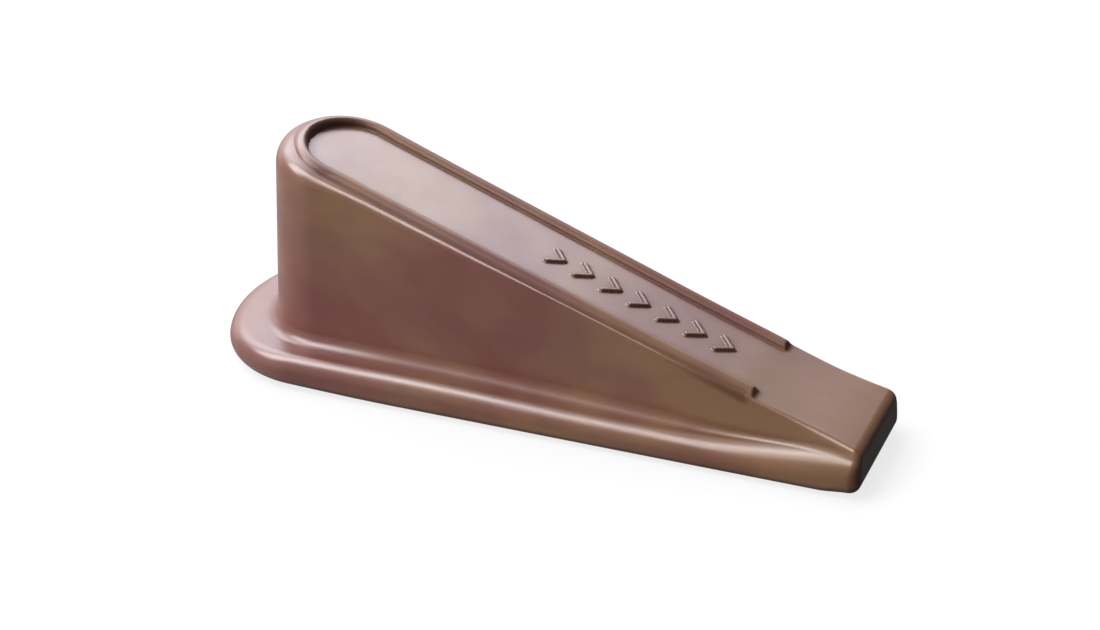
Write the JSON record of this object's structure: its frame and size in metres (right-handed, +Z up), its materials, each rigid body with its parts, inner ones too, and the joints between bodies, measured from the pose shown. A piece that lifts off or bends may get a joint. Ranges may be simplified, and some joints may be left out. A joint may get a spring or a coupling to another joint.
{
  "type": "door stop wedge",
  "caption": "Hand-placed wedge door stop: tall rounded heel, hollow slope with a raised U-shaped rim, flanged foot and a ribbed non-slip sole.",
  "frame": {"origin": "middle of the footprint, on the floor plane", "axes": "+X along the wedge from the tall heel to the thin toe, +Y across it, +Z up"},
  "size_m": [0.14, 0.0544, 0.0466],
  "materials": {
    "body": "smooth semi-gloss moulded brown with faint flow marks and fine scuffs",
    "sole": "matt dark brown moulded rubber",
    "screws": "zinc plated steel"
  },
  "bodies": {
    "root": {"wedge_body": "body", "sole_pad": "sole", "sole_screws": "screws"}
  },
  "joints": []
}
